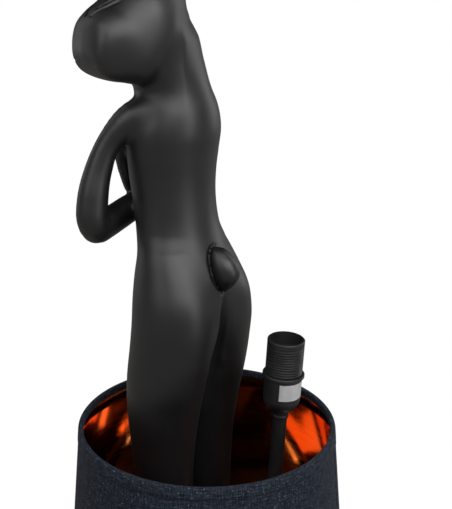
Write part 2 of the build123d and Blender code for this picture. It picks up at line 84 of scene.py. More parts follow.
softbox("key_light", 134, 1.3, 1.0, (1.5, 1.1), 14)
softbox("left_fill", 62, 1.1, 1.1, (0.7, 1.2), 5)
softbox("side_strip", 165, 0.8, 1.2, (0.3, 1.6), 5)
softbox("left_rim", -8, 0.75, 1.3, (0.5, 1.2), 1.8, (0.98, 0.98, 1.0))
softbox("right_rim", 236, 0.75, 1.3, (0.5, 1.2), 4, (0.98, 0.98, 1.0))


# ---------------------------------------------------------------- helpers for materials and meshes
def new_material(name, colour, rough, metal=0.0, specular=0.5):
    """A principled material; returns it with its node tree and its shader node."""
    material = bpy.data.materials.new(name)
    material.use_nodes = True
    tree = material.node_tree
    shader = tree.nodes["Principled BSDF"]
    shader.inputs["Base Color"].default_value = (*colour, 1)
    shader.inputs["Roughness"].default_value = rough
    shader.inputs["Metallic"].default_value = metal
    shader.inputs["Specular IOR Level"].default_value = specular
    return material, tree, shader


def add_node(tree, kind, **values):
    """A shader node with its named properties or inputs set."""
    node = tree.nodes.new(kind)
    for key, value in values.items():
        if key in node.inputs.keys():
            node.inputs[key].default_value = value
        else:
            setattr(node, key.lower(), value)
    return node


def assign(obj, material):
    obj.data.materials.clear()
    obj.data.materials.append(material)


def mesh_object(name, points, faces, smooth=True):
    """Mesh object from points in millimetres."""
    mesh = bpy.data.meshes.new(name)
    mesh.from_pydata((np.asarray(points) * MM).tolist(), [], [list(face) for face in faces])
    mesh.update()
    if smooth:
        mesh.polygons.foreach_set("use_smooth", [True] * len(mesh.polygons))
    obj = bpy.data.objects.new(name, mesh)
    scene.collection.objects.link(obj)
    return obj


# ---------------------------------------------------------------- the hare as a field
# The figure's own frame: side (+ its left), forward of its legs, height above the table, mm.
FIGURE_TURN = radians(-16)
FIGURE_Y = -15.0
LEG_SPREAD = 25.0
HEAD_TURN = radians(73)
HEAD_PITCH = radians(39)
GRID_STEP = 2.0

# height, centre forward, half depth, half width
TRUNK = [
    (236, 2, 24, 38), (262, 0, 32.5, 41), (280, 0.5, 35.5, 41.5), (300, 2.5, 36, 39.5),
    (318, 4.8, 31.5, 37), (336, 9.3, 28.7, 34), (356, 12.5, 28.7, 33), (376, 14, 30, 34.5),
    (392, 13.5, 31, 36.5), (408, 12, 31.5, 37), (424, 11, 29, 33), (438, 12.8, 26, 28),
    (456, 16.3, 23.5, 26), (474, 20.5, 21, 23), (484, 23, 17, 19),
]
LEG = [
    (24, -4, 13.5, 13.5), (60, -3, 15.5, 15.5), (100, 1, 18.5, 18.5), (140, 5, 22.5, 22.5),
    (172, 5.5, 25.5, 25), (200, 4, 28.5, 28), (221, 1.5, 30.5, 29), (246, -2, 31.5, 27.5),
    (270, -5, 30.5, 26), (290, -4.5, 27, 23), (306, -1.5, 20, 17.5), (324, 3, 10, 10),
]
FOOT = [(24, 13, 35, 13), (31, 11, 33, 13.5), (38, 4, 22, 12.5), (44, -3, 13.5, 12.5)]
TAIL = [
    (293, 33.5, 1.5, 1.5), (297, 34.5, 5.6, 4.6), (303, 35.5, 9.4, 8), (310, 35, 10.6, 9.4),
    (318, 32, 9.3, 8.3), (325, 28, 5, 4.6),
]
# side, forward, height, radius
CLEFT = [
    (0, -37, 293, 1.5), (0, -35, 280, 3), (0, -31, 264, 5), (0, -26, 246, 6.5), (0, -22, 225, 7),
    (0, -19, 200, 6.5), (0, -18, 176, 6),
]
LEFT_ARM = [
    (17, 12, 424, 14), (30, 25, 417, 12), (41, 37.3, 401, 8.8), (47.5, 43, 381, 9.8), (52.5, 44.8, 360, 11.2),
    (53, 45.2, 345, 11.4), (49, 46, 338, 11.2), (38, 48, 337.5, 10.8), (24, 49, 340, 10.6),
    (6, 46.5, 345.5, 10.2), (-10, 41, 348.5, 9),
]
RIGHT_ARM = [
    (-16, 11, 424, 14), (-28, 22, 413, 12.5), (-41, 34, 396, 10.5), (-49, 41, 375, 10.5),
    (-52, 45, 358, 11.2), (-50, 48, 348, 11), (-41, 55, 346, 9.4), (-28, 60, 349, 8), (-12, 59.5, 354, 6.4),
    (0, 55.5, 357, 4.8), (7, 51.5, 362, 4.4), (11, 50, 369, 4.6), (17, 48.5, 385, 5.2), (21, 45, 394, 6),
]
# distance along the head's axis, top and bottom from that axis, half width
HEAD = [
    (-24, 3, -9, 6), (-18, 10, -16, 13), (-8, 18, -25, 21.5), (6, 23.5, -33, 29), (26, 24.5, -38, 31),
    (40, 24.5, -36.5, 29.5), (48, 23, -32.5, 27), (55, 19.5, -24, 24), (61, 15.5, -17, 21),
    (66, 10.5, -9.5, 17.5), (70, 5, -4, 12),
]
# distance along the ear, half width, half thickness
EAR = [(0, 10.5, 6), (22, 12.5, 6.5), (50, 14, 6), (76, 11, 4.5), (94, 6, 3), (101, 2.6, 1.8)]
EAR_TOP = 612.0
EAR_LENGTH = 102.0
EAR_LEAN = radians(6)
EAR_SPLAY = radians(7)
EAR_SPREAD = 12.0
EAR_AHEAD = 11.0
MUZZLE_FRONT = 72.6
NECK_FORWARD = 12.0
HEAD_HEIGHT = 498.0
UNDERSIDE = 24.05
# boxes round the parts that are small, as two corners
FACE_BOX = ((-4, 30, 450), (28, 80, 505))
HANDS_BOX = ((-25, 25, 330), (35, 75, 410))
TOES_BOX = ((-45, 25, 20), (45, 60, 45))
TAIL_BOX = ((-18, -55, 280), (18, -10, 335))


def dense(stations, count):
    """Stations interpolated by a smooth cubic; the first column is the station's place."""
    table = np.array(stations, float)
    place = table[:, 0]
    slopes = np.gradient(table, place, axis=0)
    at = np.linspace(place[0], place[-1], count)
    index = np.clip(np.searchsorted(place, at, side="right") - 1, 0, len(place) - 2)
    span = (place[index + 1] - place[index])[:, None]
    t = (at[:, None] - place[index][:, None]) / span
    low, high = table[index], table[index + 1]
    rise = (2 * t ** 3 - 3 * t ** 2 + 1) * low + (t ** 3 - 2 * t ** 2 + t) * span * slopes[index]
    return rise + (-2 * t ** 3 + 3 * t ** 2) * high + (t ** 3 - t ** 2) * span * slopes[index + 1]


def along(stations, count):
    """Stations of a limb, interpolated smoothly by the length of its line."""
    table = np.array(stations, float)
    steps = np.linalg.norm(np.diff(table[:, :3], axis=0), axis=1)
    place = np.concatenate([[0], np.cumsum(steps)])
    return dense(np.column_stack([place, table]), count)[:, 1:]


def smooth_min(a, b, blend):
    h = np.maximum(blend - np.abs(a - b), 0) / blend
    return np.minimum(a, b) - h * h * blend * 0.25


def smooth_max(a, b, blend):
    return -smooth_min(-a, -b, blend)


def radial(u, v, half_u, half_v, power=2.0):
    """Distance from a rounded section, measured along the line from its centre."""
    reach = np.hypot(u, v) + 1e-6
    share = (np.abs(u / half_u) ** power + np.abs(v / half_v) ** power) ** (1 / power) + 1e-6
    return reach - reach / share


def column(side, forward, height, table, cap=6.0):
    """Distance from an upright loft whose dense table gives centre, half depth and half width."""
    centre, depth, width = (np.interp(height, table[:, 0], table[:, i]) for i in (1, 2, 3))
    wall = radial(side, forward - centre, width, depth)
    ends = np.maximum(table[0, 0] - height, height - table[-1, 0])
    return smooth_max(wall, ends, cap)


def chain(points, table):
    """Distance from a tube of changing radius along a dense line."""
    best = np.full(len(points), 1e3)
    for start, end in zip(table[:-1], table[1:]):
        line = end[:3] - start[:3]
        share = np.clip((points - start[:3]) @ line / (line @ line), 0, 1)
        gap = np.linalg.norm(points - start[:3] - share[:, None] * line, axis=1)
        best = np.minimum(best, gap - start[3] - share * (end[3] - start[3]))
    return best


def boxed(points, low, high, pad, distance):
    """A part's distance where the points lie near its box, and a large one elsewhere."""
    near = np.all((points > np.array(low) - pad) & (points < np.array(high) + pad), axis=1)
    result = np.full(len(points), 50.0)
    if near.any():
        result[near] = distance(points[near])
    return result


TRUNK_TABLE = dense(TRUNK, 200)
LEG_TABLE = dense(LEG, 200)
FOOT_TABLE = dense(FOOT, 40)
TAIL_TABLE = dense(TAIL, 60)
CLEFT_TABLE = along(CLEFT, 24)
HEAD_TABLE = dense(HEAD, 120)
EAR_TABLE = dense(EAR, 100)
LEFT_ARM_TABLE = along(LEFT_ARM, 40)
RIGHT_ARM_TABLE = along(RIGHT_ARM, 44)
LEFT_FINGERS = [along([(4, 55.6, high, 0.8), (-9, 51, high + 1.5, 0.9)], 6) for high in (344, 349)]
RIGHT_FINGERS = [along([(12 + wide, 53.5, 371, 0.7), (20 + wide, 50.5, 390, 0.8)], 6) for wide in (-1.5, 2)]
FINGERS = LEFT_FINGERS + RIGHT_FINGERS
TOES = [along([(leg + spot, 34, 35, 0.9), (leg + spot * 1.1, 48.5, 27, 1.1)], 6)
        for leg in (-LEG_SPREAD, LEG_SPREAD) for spot in (-4.5, 4.5)]


def to_figure(points):
    """World points, in mm, in the figure's frame of side, forward and height."""
    x, y = points[:, 0], points[:, 1] - FIGURE_Y
    side = x * cos(FIGURE_TURN) + y * sin(FIGURE_TURN)
    forward = x * sin(FIGURE_TURN) - y * cos(FIGURE_TURN)
    return np.column_stack([side, forward, points[:, 2]])


def to_head(figure):
    """Figure points as (left of the head, ahead of the neck, height)."""
    side, forward = figure[:, 0], figure[:, 1] - NECK_FORWARD
    left = side * cos(HEAD_TURN) - forward * sin(HEAD_TURN)
    ahead = side * sin(HEAD_TURN) + forward * cos(HEAD_TURN)
    return np.column_stack([left, ahead, figure[:, 2]])


def to_face(head):
    """Head points as (left, along the head's drooping axis, up from that axis)."""
    ahead, height = head[:, 1] - 18, head[:, 2] - HEAD_HEIGHT
    reach = ahead * cos(HEAD_PITCH) - height * sin(HEAD_PITCH)
    up = ahead * sin(HEAD_PITCH) + height * cos(HEAD_PITCH)
    return np.column_stack([head[:, 0], reach, up])


def skull(head):
    """The head without its ears: rounded sections, cut flat at the front of the muzzle."""
    face = to_face(head)
    reach = face[:, 1]
    top, bottom, wide = (np.interp(reach, HEAD_TABLE[:, 0], HEAD_TABLE[:, i]) for i in (1, 2, 3))
    power = np.interp(reach, [0, 30, 55], [2.0, 2.1, 2.9])
    wall = radial(face[:, 0], face[:, 2] - (top + bottom) / 2, wide, (top - bottom) / 2, power)
    wall = smooth_max(wall, np.maximum(HEAD_TABLE[0, 0] - reach, reach - 66), 4)
    keel = 0.1 * np.sqrt(head[:, 0] ** 2 + 1)
    return smooth_max(wall, head[:, 1] + keel - MUZZLE_FRONT - 0.6, 6)


def on_ear(head, side):
    """Place along one ear's leaning line, offset from it, and half width and thickness there."""
    up = np.array([side * tan(EAR_SPLAY), -tan(EAR_LEAN), 1.0])
    up = up / np.linalg.norm(up)
    root = np.array([side * EAR_SPREAD, EAR_AHEAD, EAR_TOP - EAR_LENGTH * cos(EAR_LEAN)])
    local = head - root
    place = local @ up
    width, thick = (np.interp(place, EAR_TABLE[:, 0], EAR_TABLE[:, i]) for i in (1, 2))
    return place, local - place[:, None] * up, width, thick


def ear(head, side):
    """One ear, as blade sections along its own line."""
    place, flat, width, thick = on_ear(head, side)
    wall = radial(flat[:, 1], flat[:, 0], width, thick)
    return smooth_max(wall, np.maximum(-12 - place, place - EAR_LENGTH), 3)


def ear_hollow(head, side):
    """The long shallow hollow in an ear's outer face."""
    place, flat, width, thick = on_ear(head, side)
    taper = np.clip(1 - ((place - 56) / 38) ** 2, 0.02, 1) ** 0.5
    wall = radial(flat[:, 1] - 1.5, side * flat[:, 0] - thick - 1.2, 0.66 * width * taper, 4.2 * taper)
    return smooth_max(wall, np.abs(place - 56) - 37, 2)


def trunk_and_legs(figure):
    side, forward, height = figure.T
    legs = []
    for sign in (-1, 1):
        leg = column(side - sign * LEG_SPREAD, forward, height, LEG_TABLE, cap=12)
        foot = boxed(figure, (-45, -25, 20), (45, 55, 48), 16, lambda p: column(
            p[:, 0] - sign * LEG_SPREAD, p[:, 1], p[:, 2], FOOT_TABLE, cap=3))
        legs.append(smooth_min(leg, foot, 9))
    return smooth_min(column(side, forward, height, TRUNK_TABLE), smooth_min(*legs, 2.0), 13)


def tail(figure, shift=0.0):
    """The tail's bud, or the same shape shifted sideways."""
    return boxed(figure, *TAIL_BOX, 12, lambda p: column(
        p[:, 0] - shift, -p[:, 1], p[:, 2], TAIL_TABLE, cap=3))


def with_tail(body, figure):
    """The body with a shallow bed cut round the tail, and the tail in it."""
    bed = smooth_max(tail(figure, 1.3) - 1.5, -(body + 3.6), 2.5)
    return smooth_min(smooth_max(body, -bed, 1.8), tail(figure), 2.5)


def hare(points):
    """The whole figure: negative inside, in mm."""
    figure = to_figure(points)
    body = trunk_and_legs(figure)
    cleft = boxed(figure, (-12, -48, 165), (12, -5, 300), 10, lambda p: chain(p, CLEFT_TABLE))
    body = smooth_max(body, -cleft, 5)
    body = with_tail(body, figure)
    for table, low, high in (
        (LEFT_ARM_TABLE, (-20, 0, 325), (70, 62, 440)),
        (RIGHT_ARM_TABLE, (-68, 0, 330), (36, 72, 440)),
    ):
        arm = boxed(figure, low, high, 12, lambda p: chain(p, table))
        body = smooth_min(body, arm, 5)
    head = to_head(figure)
    # the nape runs softly into the back, and the jaw meets the throat more sharply
    front = np.clip((head[:, 1] - 8) / 24, 0, 1)
    blend = np.interp(head[:, 2], [472, 494], [34, 16]) * (1 - front) + 11 * front
    body = smooth_min(body, boxed(head, (-40, -40, 440), (40, 90, 560), 30, skull), blend)
    for sign in (-1, 1):
        one = boxed(head, (-45, -20, 495), (45, 45, 615), 12, lambda p: ear(p, sign))
        body = smooth_min(body, one, 7)
    return smooth_max(body, UNDERSIDE - figure[:, 2], 1.0)


def settle(points, field, rounds=3, limit=1.2):
    """Points moved onto the field's zero surface along its slope."""
    probe = 0.05
    for _ in range(rounds):
        value = field(points)
        slope = np.empty_like(points)
        for axis in range(3):
            moved = points.copy()
            moved[:, axis] += probe
            slope[:, axis] = (field(moved) - value) / probe
        step = slope * (value / np.maximum((slope ** 2).sum(1), 0.05))[:, None]
        length = np.linalg.norm(step, axis=1)[:, None]
        points = points - step * np.minimum(1, limit / np.maximum(length, 1e-9))
    return points


def from_head(head):
    """Head points as world points: the inverse of to_figure and to_head."""
    side = head[:, 0] * cos(HEAD_TURN) + head[:, 1] * sin(HEAD_TURN)
    forward = -head[:, 0] * sin(HEAD_TURN) + head[:, 1] * cos(HEAD_TURN) + NECK_FORWARD
    x = side * cos(FIGURE_TURN) + forward * sin(FIGURE_TURN)
    y = side * sin(FIGURE_TURN) - forward * cos(FIGURE_TURN)
    return np.column_stack([x, y + FIGURE_Y, head[:, 2]])


def face_line(line, radius):
    """Dense thin tube along a few (left, ahead, height) points, laid on the head's surface."""
    table = along([(*spot, radius) for spot in line], 24)
    table[:, :3] = to_head(to_figure(settle(from_head(table[:, :3]), hare, rounds=6, limit=3)))
    return table


# grooves of the head, on its left side; the right side mirrors them
EYE_SLIT = face_line(
    [(3.4, 65.8, 490), (6.2, 62.2, 493.2), (9.3, 59, 494.8), (11, 55.2, 496.8), (13.2, 51, 498.8)], 1.2)
LID_LINE = face_line([(3.6, 61.5, 495.4), (6, 57.5, 498), (8.6, 53.5, 499.6)], 0.7)
MOUTH_LINE = face_line([(0, 73, 455.6), (6, 73, 456.4), (13, 71.6, 458.4), (18, 67, 460)], 0.4)
HEAD_LINES = (EYE_SLIT, LID_LINE, MOUTH_LINE)


def carved(points):
    """The figure with its grooves: face, ear hollows, toes and fingers."""
    figure = to_figure(points)
    head = to_head(figure)
    body = hare(points)
    mirrored = np.column_stack([np.abs(head[:, 0]), head[:, 1:]])
    for line in HEAD_LINES:
        groove = boxed(mirrored, *FACE_BOX, 6, lambda p: chain(p, line))
        body = smooth_max(body, -groove, 1.2)
    for sign in (-1, 1):
        hollow = boxed(head, (-45, -20, 520), (45, 45, 612), 4, lambda p: ear_hollow(p, sign))
        body = smooth_max(body, -hollow, 2.0)
    for lines, box in ((TOES, TOES_BOX), (FINGERS, HANDS_BOX)):
        for line in lines:
            groove = boxed(figure, *box, 4, lambda p: chain(p, line))
            body = smooth_max(body, -groove, 1.0)
    return body


def surface_nets(field, origin, step):
    """Quads on the zero surface: a point in each crossed cell, a quad round each crossed edge."""
    inside = field < 0
    halves = (slice(None, -1), slice(1, None))
    total = sum(inside[corner].astype(np.int8) for corner in product(halves, repeat=3))
    cells = np.argwhere((total > 0) & (total < 8))
    number = np.full(total.shape, -1)
    number[tuple(cells.T)] = np.arange(len(cells))
    quads = []
    for axis in range(3):
        state = np.moveaxis(inside, axis, 0)
        near = np.moveaxis(number, axis, 0)
        before, after = state[:-1, 1:-1, 1:-1], state[1:, 1:-1, 1:-1]
        for crossed, flip in ((before & ~after, axis == 1), (~before & after, axis != 1)):
            i, j, k = np.nonzero(crossed)
            around = [near[i, j, k], near[i, j + 1, k], near[i, j + 1, k + 1], near[i, j, k + 1]]
            quad = np.column_stack(around)
            quads.append(quad[:, ::-1] if flip else quad)
    return origin + (cells + 0.5) * step, np.concatenate(quads)


def neighbour_mean(points, links):
    """Mean of each point's neighbours, for links given as (point, neighbour)."""
    degree = np.maximum(np.bincount(links[:, 0], minlength=len(points)), 1)
    totals = [np.bincount(links[:, 0], points[links[:, 1], axis], minlength=len(points)) for axis in range(3)]
    return np.column_stack(totals) / degree[:, None]


def even_out(points, quads, field, rounds):
    """Points drawn towards the middle of their neighbours, and back onto the surface."""
    links = np.concatenate([quads[:, [i, (i + 1) % 4]] for i in range(4)])
    for _ in range(rounds):
        points = settle(0.4 * points + 0.6 * neighbour_mean(points, links), field, rounds=1)
    return points


def sculpt(field, low, high, step):
    """Mesh points and quads of a field, sampled coarsely first and finely only near its surface."""
    counts = [int(np.ceil((b - a) / step / 3)) * 3 + 1 for a, b in zip(low, high)]
    axes = [a + step * np.arange(n) for a, n in zip(low, counts)]
    coarse_axes = [axis[1::3] for axis in axes]
    grid = np.stack(np.meshgrid(*coarse_axes, indexing="ij"), -1)
    coarse = field(grid.reshape(-1, 3)).reshape(grid.shape[:3])
    values = coarse
    for axis in range(3):
        values = np.repeat(values, 3, axis=axis)
    pads = [(0, n - m) for n, m in zip(counts, values.shape)]
    values = np.pad(values, pads, mode="edge")
    near = np.argwhere(np.abs(values) < 4.5 * step)
    spots = np.column_stack([axes[i][near[:, i]] for i in range(3)])
    values[tuple(near.T)] = field(spots)
    return surface_nets(values, np.array(low), step)


def needs_detail(points):
    """True near the face's grooves, the tail and the fingers, which need a finer mesh."""
    figure = to_figure(points)
    head = to_head(figure)
    mirrored = np.column_stack([np.abs(head[:, 0]), head[:, 1:]])
    close = np.zeros(len(points), bool)
    for line in HEAD_LINES:
        close |= boxed(mirrored, *FACE_BOX, 6, lambda p: chain(p, line)) < 3.5
    close |= np.abs(tail(figure)) < 4.5
    for line in FINGERS:
        close |= boxed(figure, *HANDS_BOX, 4, lambda p: chain(p, line)) < 3
    return close


def refine(obj, field):
    """Finer faces where detail is needed, moved onto the carved field and smoothed along it."""
    mesh = bmesh.new()
    mesh.from_mesh(obj.data)
    centres = np.array([face.calc_center_median() for face in mesh.faces]) / MM
    chosen = needs_detail(centres)
    edges = {edge for face, pick in zip(mesh.faces, chosen) if pick for edge in face.edges}
    bmesh.ops.subdivide_edges(mesh, edges=list(edges), cuts=2, use_grid_fill=True)
    bmesh.ops.triangulate(mesh, faces=[face for face in mesh.faces if len(face.verts) > 4])
    mesh.verts.ensure_lookup_table()
    places = np.array([vertex.co for vertex in mesh.verts]) / MM
    links = np.array([[edge.verts[0].index, edge.verts[1].index] for edge in mesh.edges])
    links = np.concatenate([links, links[:, ::-1]])
    places = settle(places, field, rounds=3, limit=0.8)
    fine = needs_detail(places)
    for _ in range(3):
        moved = (0.5 * places + 0.5 * neighbour_mean(places, links))[fine]
        places[fine] = settle(moved, field, rounds=1, limit=0.8)
    for vertex, place in zip(mesh.verts, places * MM):
        vertex.co = place
    bmesh.ops.recalc_face_normals(mesh, faces=mesh.faces)
    mesh.to_mesh(obj.data)
    mesh.free()
    obj.data.polygons.foreach_set("use_smooth", [True] * len(obj.data.polygons))


GRID_PAD = 6.0
figure_low, figure_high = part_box("hare_figure")
points, quads = sculpt(
    hare, [v / MM - GRID_PAD for v in figure_low], [v / MM + GRID_PAD for v in figure_high], GRID_STEP)
points = settle(points, hare, rounds=3)
points = even_out(points, quads, hare, rounds=4)
hare_figure = mesh_object("hare", points, quads)
refine(hare_figure, carved)
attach(hare_figure, "lamp")
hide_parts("hare_figure")

# ---------------------------------------------------------------- the shade's cloth and film
SEAM_ANGLE = radians(100)
HEM_T = 0.4
COVER_INSET = 0.45
COVER_T = 0.6
LINING_INSET = 1.1
LINING_T = 0.45
LIP_INSET = 3.7
CLOTH_END = 1.2
CLOTH_LAP = 4.5
COVER_ROWS = 24
HEM_BAND_SPOTS = 7
HEM_OUTSIDE_SPOTS = 14
band_low, band_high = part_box("shade_top_hem")
shade_height = band_high.z / MM
bottom_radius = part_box("shade_bottom_hem")[1].x / MM
taper = (bottom_radius - band_high.x / MM) / (band_low.z / MM)


def shade_radius(height):
    return bottom_radius - taper * height


def unevenness(angle, height):
    """Slow departure of a hand-rolled shade from a true cone, in mm."""
    total = 0
    for waves, climb, start, size in ((2, 0.004, 0.4, 0.12), (3, -0.011, 1.7, 0.08), (5, 0.017, 3.1, 0.05)):
        total = total + size * np.sin(waves * angle + climb * height + start)
    return total


def revolved(name, profile, proud, sides=240):
    """Closed wall of revolution through (inset, height) spots; proud(angle, spot) adds to its radius."""
    near_seam = SEAM_ANGLE + np.radians(
        [-4.6, -4.5, -4.4, -3, -1.6, -1.45, -0.6, -0.35, 0, 0.35, 0.6, 1.45, 1.6, 3, 4.4])
    angles = np.sort(np.concatenate([np.linspace(0, 2 * pi, sides, endpoint=False), near_seam]))
    angles = angles[np.concatenate([[True], np.diff(angles) > 1e-4])]
    insets, heights = np.array(profile, float).T
    count = len(profile)
    spots = []
    for angle in angles:
        out = shade_radius(heights) - insets + unevenness(angle, heights) + proud(angle, np.arange(count))
        spots.append(np.column_stack([out * cos(angle), out * sin(angle), heights]))
    spots = np.concatenate(spots)
    faces, marks = [], []
    lengths = np.hypot(np.diff(insets, append=insets[0]), np.diff(heights, append=heights[0]))
    travel = np.concatenate([[0], np.cumsum(lengths)])
    mean = (shade_radius(0) + shade_radius(shade_height)) / 2
    for i in range(len(angles)):
        after = (i + 1) % len(angles)
        turn = angles[after] + (2 * pi if after == 0 else 0)
        for j in range(count):
            k = (j + 1) % count
            faces.append((i * count + j, after * count + j, after * count + k, i * count + k))
            start, end = travel[j], travel[j + 1]
            marks += [(angles[i], start), (turn, start), (turn, end), (angles[i], end)]
    obj = mesh_object(name, spots, faces)
    layer = obj.data.uv_layers.new(name="UVMap")
    values = (np.array(marks) * [mean * MM, MM]).astype(np.float32)
    layer.data.foreach_set("uv", values.ravel())
    return obj


def flap(angle, rise, start, end, soft=0.25):
    """Height of a cloth flap that lies from start to end degrees past the seam, with soft edges."""
    turn = np.degrees(angle - SEAM_ANGLE)
    return rise * np.clip((turn - start) / soft, 0, 1) * np.clip((end - turn) / soft, 0, 1)


def wall(inset, thick, low, high, rows):
    """Profile of a thin wall: up its outer face and down its inner one."""
    climb = np.linspace(low, high, rows)
    outer = [(inset, z) for z in climb]
    inner = [(inset + thick, z) for z in climb[::-1]]
    return outer + inner


def hem_profile(edge, inward):
    """Cloth strip folded over an edge: outer band, rolled edge and lip inside."""
    lip = LIP_INSET + HEM_T
    outside = [(0, 9), (0, 6.5), (0, 4), (0, 2), (0.1, 0.9), (0.45, 0.3), (1.1, 0.02), (2.05, 0),
               (lip - 1.1, 0.02), (lip - 0.4, 0.3), (lip - 0.08, 0.9), (lip, 2), (lip, 3.8), (lip, 5.5)]
    inside = [(lip - HEM_T, 5.5), (lip - HEM_T, 3), (lip - HEM_T - 0.1, 1.2), (lip - 1, 0.5),
              (2.05, 0.42), (1, 0.5), (HEM_T + 0.02, 1.2), (HEM_T, 3), (HEM_T, 9)]
    return [(inset, edge + inward * rise) for inset, rise in outside + inside]


def cover_lap(angle, spot):
    """The linen's lapped end, on the wall's outer face."""
    return np.where(spot < COVER_ROWS, flap(angle, 0.42, -CLOTH_LAP, 0), 0.0)


def no_lap(angle, spot):
    return np.zeros(len(spot))


def hem_lap(angle, spot):
    """The hem's overlap: proud outwards on the outer band, and inwards on the lip."""
    side = np.where(spot < HEM_BAND_SPOTS, 1, np.where(spot < HEM_OUTSIDE_SPOTS, -1, 0))
    return side * flap(angle, 0.4, -1.5, 1.5, 0.15)


cloth_span = (CLOTH_END, shade_height - CLOTH_END)
linen = revolved("shade_linen", wall(COVER_INSET, COVER_T, *cloth_span, COVER_ROWS), cover_lap)
film = revolved("shade_film", wall(LINING_INSET, LINING_T, *cloth_span, 12), no_lap, sides=360)
top_hem = revolved("top_hem", hem_profile(shade_height, -1), hem_lap)
bottom_hem = revolved("bottom_hem", hem_profile(0, 1), hem_lap)

for piece, node, slot in (
    (linen, "shade_cover", "shade_fabric"), (film, "shade_lining", "copper_film"),
    (top_hem, "shade_top_hem", "hem_fabric"), (bottom_hem, "shade_bottom_hem", "hem_fabric"),
):
    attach(piece, "shade")
    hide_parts(node)


# ---------------------------------------------------------------- materials
def link(tree, source, target):
    tree.links.new(source, target)


def noise_value(tree, scale, detail=3.0, rough=0.55, stretch=(1, 1, 1), coordinate="Object"):
    """Noise in the piece's own coordinates or over its flat cloth, in metres."""
    place = add_node(tree, "ShaderNodeTexCoord")
    mapping = add_node(tree, "ShaderNodeMapping")
    mapping.inputs["Scale"].default_value = stretch
    link(tree, place.outputs[coordinate], mapping.inputs["Vector"])
    noise = add_node(tree, "ShaderNodeTexNoise", Scale=scale, Detail=detail, Roughness=rough)
    link(tree, mapping.outputs["Vector"], noise.inputs["Vector"])
    return noise.outputs["Fac"]


def ramp(tree, source, stops, target):
    """Colours at places along a value, given as (place, colour)."""
    node = add_node(tree, "ShaderNodeValToRGB")
    elements = node.color_ramp.elements
    while len(elements) < len(stops):
        elements.new(0.5)
    for element, (place, colour) in zip(elements, stops):
        element.position = place
        element.color = (*colour, 1)
    link(tree, source, node.inputs["Fac"])
    link(tree, node.outputs["Color"], target)


def spread(tree, source, low, high, target, span=(0.3, 0.7)):
    """A value mapped from the noise's usual span to low..high."""
    node = add_node(tree, "ShaderNodeMapRange")
    node.inputs["From Min"].default_value, node.inputs["From Max"].default_value = span
    node.inputs["To Min"].default_value, node.inputs["To Max"].default_value = low, high
    link(tree, source, node.inputs["Value"])
    link(tree, node.outputs["Result"], target)


def bump(tree, shader, source, distance, strength=1.0):
    """Bump of a height in millimetres."""
    node = add_node(tree, "ShaderNodeBump")
    node.inputs["Strength"].default_value = strength
    node.inputs["Distance"].default_value = distance * MM
    link(tree, source, node.inputs["Height"])
    link(tree, node.outputs["Normal"], shader.inputs["Normal"])


def surface(name, dark, light, rough, scale, metal=0.0, specular=0.5, grain=0.0, grain_scale=1500.0,
            stretch=(1, 1, 1), sheen=0.0):
    """General finish: colour between two tones, roughness between two values, and a fine grain."""
    material, tree, shader = new_material(name, light, rough[1], metal, specular)
    tone = noise_value(tree, scale, stretch=stretch)
    ramp(tree, tone, [(0.32, dark), (0.68, light)], shader.inputs["Base Color"])
    spread(tree, tone, rough[0], rough[1], shader.inputs["Roughness"])
    if sheen:
        shader.inputs["Sheen Weight"].default_value = sheen
        shader.inputs["Sheen Roughness"].default_value = 0.5
    if grain:
        fine = noise_value(tree, grain_scale, detail=2.0, stretch=stretch)
        bump(tree, shader, fine, grain)
    return material


lacquer = surface("satin_lacquer", (0.0025, 0.0025, 0.003), (0.004, 0.004, 0.0048), (0.43, 0.5), 35,
                  specular=0.85, grain=0.035, grain_scale=420)
base_lacquer = surface("base_lacquer", (0.008, 0.008, 0.009), (0.012, 0.012, 0.013), (0.38, 0.48), 40,
                       grain=0.05, grain_scale=600)
powder_coat = surface("powder_coat", (0.008, 0.008, 0.008), (0.012, 0.012, 0.012), (0.42, 0.52), 90,
                      grain=0.08, grain_scale=1800)
moulded = surface("moulded_black", (0.012, 0.012, 0.013), (0.018, 0.018, 0.02), (0.4, 0.5), 110,
                  grain=0.04, grain_scale=1400)
rubber = surface("black_rubber", (0.014, 0.014, 0.014), (0.022, 0.022, 0.022), (0.7, 0.85), 160, grain=0.06)
felt = surface("pressed_felt", (0.016, 0.016, 0.016), (0.036, 0.036, 0.036), (0.95, 1.0), 900,
               grain=0.5, grain_scale=2600, sheen=0.35)
board = surface("fibreboard", (0.15, 0.1, 0.06), (0.26, 0.19, 0.12), (0.85, 0.95), 700,
                grain=0.15, grain_scale=2400, stretch=(1, 3, 1))
brass = surface("brass", (0.7, 0.5, 0.2), (0.83, 0.62, 0.29), (0.2, 0.36), 260, metal=1.0, grain=0.02)
bronze = surface("spring_bronze", (0.62, 0.42, 0.17), (0.76, 0.54, 0.25), (0.24, 0.4), 300, metal=1.0,
                 grain=0.02, stretch=(1, 6, 1))
zinc = surface("zinc_plate", (0.5, 0.5, 0.5), (0.64, 0.64, 0.66), (0.3, 0.46), 240, metal=1.0, grain=0.02)
sheath = surface("pvc_sheath", (0.012, 0.012, 0.012), (0.02, 0.02, 0.02), (0.4, 0.55), 150, grain=0.04)
insulation = surface("pvc_insulation", (0.15, 0.08, 0.03), (0.22, 0.12, 0.055), (0.38, 0.5), 200, grain=0.02)
white_wire = surface("epoxy_wire", (0.66, 0.66, 0.65), (0.77, 0.77, 0.76), (0.3, 0.45), 180, grain=0.03)
foil = surface("blank_foil", (0.72, 0.73, 0.75), (0.86, 0.87, 0.9), (0.34, 0.5), 160, metal=0.6,
               grain=0.12, grain_scale=260, stretch=(1, 1, 0.6))


